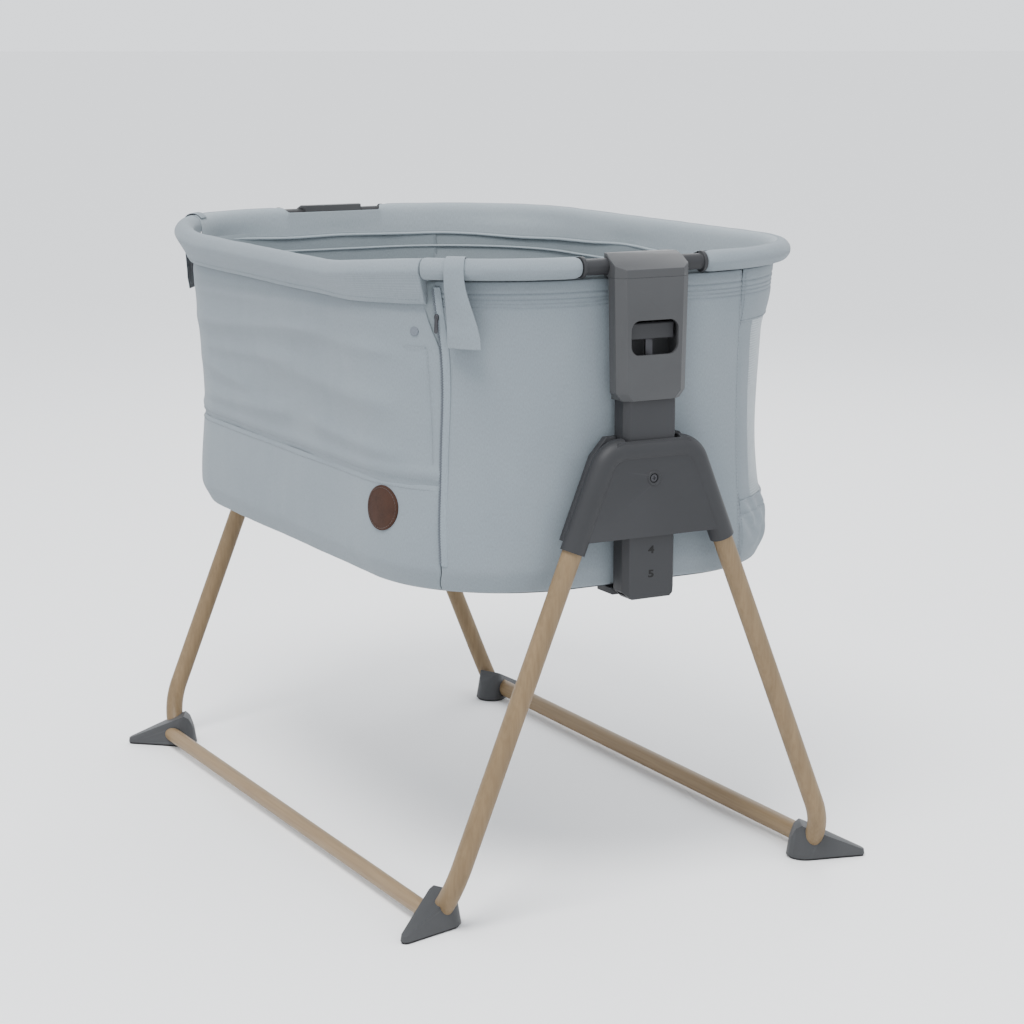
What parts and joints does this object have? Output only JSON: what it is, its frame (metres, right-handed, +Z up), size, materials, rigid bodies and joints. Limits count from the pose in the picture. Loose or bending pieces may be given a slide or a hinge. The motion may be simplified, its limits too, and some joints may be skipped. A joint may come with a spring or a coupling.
{
  "type": "bassinet on stand",
  "caption": "Bedside bassinet: fabric basket with padded rim and drop side, sliding in height and sideways on a tube A-frame stand.",
  "frame": {"origin": "on the floor under the middle of the stand", "axes": "+X along the basket's length, -Y towards the side that drops, +Z up"},
  "size_m": [0.983, 0.6794, 0.809],
  "materials": {
    "leg_tube": "wood-tone matt paint",
    "dark_plastic": "fine-textured moulding",
    "lever_plastic": "fine-textured moulding",
    "bush_plastic": "smooth",
    "rubber_sole": "matt",
    "steel": "zinc plated",
    "fabric": "fine woven",
    "mesh_fabric": "open mesh",
    "zip_tape": "zip tape",
    "mattress_fabric": "knitted cover",
    "board": "covered board",
    "leather": "plain brown"
  },
  "bodies": {
    "stand": {"front_right_leg": "leg_tube", "back_right_leg": "leg_tube", "front_left_leg": "leg_tube", "back_left_leg": "leg_tube", "front_right_foot": "dark_plastic", "back_right_foot": "dark_plastic", "front_left_foot": "dark_plastic", "back_left_foot": "dark_plastic", "front_right_sole": "rubber_sole", "back_right_sole": "rubber_sole", "front_left_sole": "rubber_sole", "back_left_sole": "rubber_sole", "front_floor_bar": "leg_tube", "back_floor_bar": "leg_tube", "right_bracket_shell": "dark_plastic", "left_bracket_shell": "dark_plastic", "right_bracket_back": "dark_plastic", "left_bracket_back": "dark_plastic", "right_guide_bush": "bush_plastic", "left_guide_bush": "bush_plastic", "right_bush_screw": "steel", "left_bush_screw": "steel"},
    "carrier": {"right_height_tube": "dark_plastic", "left_height_tube": "dark_plastic", "right_housing": "dark_plastic", "left_housing": "dark_plastic", "right_cap": "dark_plastic", "left_cap": "dark_plastic", "right_base_shoe": "dark_plastic", "left_base_shoe": "dark_plastic", "right_bolt_guide": "bush_plastic", "left_bolt_guide": "bush_plastic"},
    "basket": {"right_rim_rail": "dark_plastic", "left_rim_rail": "dark_plastic", "right_corner_tube": "steel", "left_corner_tube": "steel", "right_corner_pad": "fabric", "left_corner_pad": "fabric", "right_end_wall": "fabric", "left_end_wall": "fabric", "right_side_zip": "zip_tape", "left_side_zip": "zip_tape", "right_corner_tab": "fabric", "left_corner_tab": "fabric", "back_rim_tube": "steel", "back_rim_pad": "fabric", "back_wall": "fabric", "front_lower_wall": "fabric", "round_patch": "leather", "base_board": "board", "mattress": "mattress_fabric"},
    "drop_side": {"front_panel": "fabric", "front_rim_pad": "fabric"},
    "right_release": {"right_release_lever": "lever_plastic", "right_pull_rod": "steel"},
    "right_lock": {"right_lock_bolt": "steel"},
    "left_release": {"left_release_lever": "lever_plastic", "left_pull_rod": "steel"},
    "left_lock": {"left_lock_bolt": "steel"}
  },
  "joints": [
    {"name": "height", "type": "slide", "parent": "stand", "child": "carrier", "axis": [0, 0, 1], "range_m": [0, 0.12]},
    {"name": "basket_slide", "type": "slide", "parent": "carrier", "child": "basket", "axis": [0, 1, 0], "range_m": [-0.026, 0.026]},
    {"name": "drop_side_fold", "type": "hinge", "parent": "basket", "child": "drop_side", "pos_m": [0, -0.281, 0.53], "axis": [1, 0, 0], "range_deg": [0, 165]},
    {"name": "right_release_pull", "type": "slide", "parent": "carrier", "child": "right_release", "axis": [0, 0, 1], "range_m": [0, 0.008], "stiffness_N_per_m": 1200, "springref_m": -0.003},
    {"name": "right_lock_draw", "type": "slide", "parent": "carrier", "child": "right_lock", "axis": [1, 0, 0], "range_m": [0, 0.0045]},
    {"name": "left_release_pull", "type": "slide", "parent": "carrier", "child": "left_release", "axis": [0, 0, 1], "range_m": [0, 0.008], "stiffness_N_per_m": 1200, "springref_m": -0.003},
    {"name": "left_lock_draw", "type": "slide", "parent": "carrier", "child": "left_lock", "axis": [-1, 0, 0], "range_m": [0, 0.0045]}
  ],
  "couplings": [
    {"joint": "right_lock_draw", "follows": "right_release_pull", "ratio": 0.5},
    {"joint": "left_lock_draw", "follows": "left_release_pull", "ratio": 0.5}
  ]
}
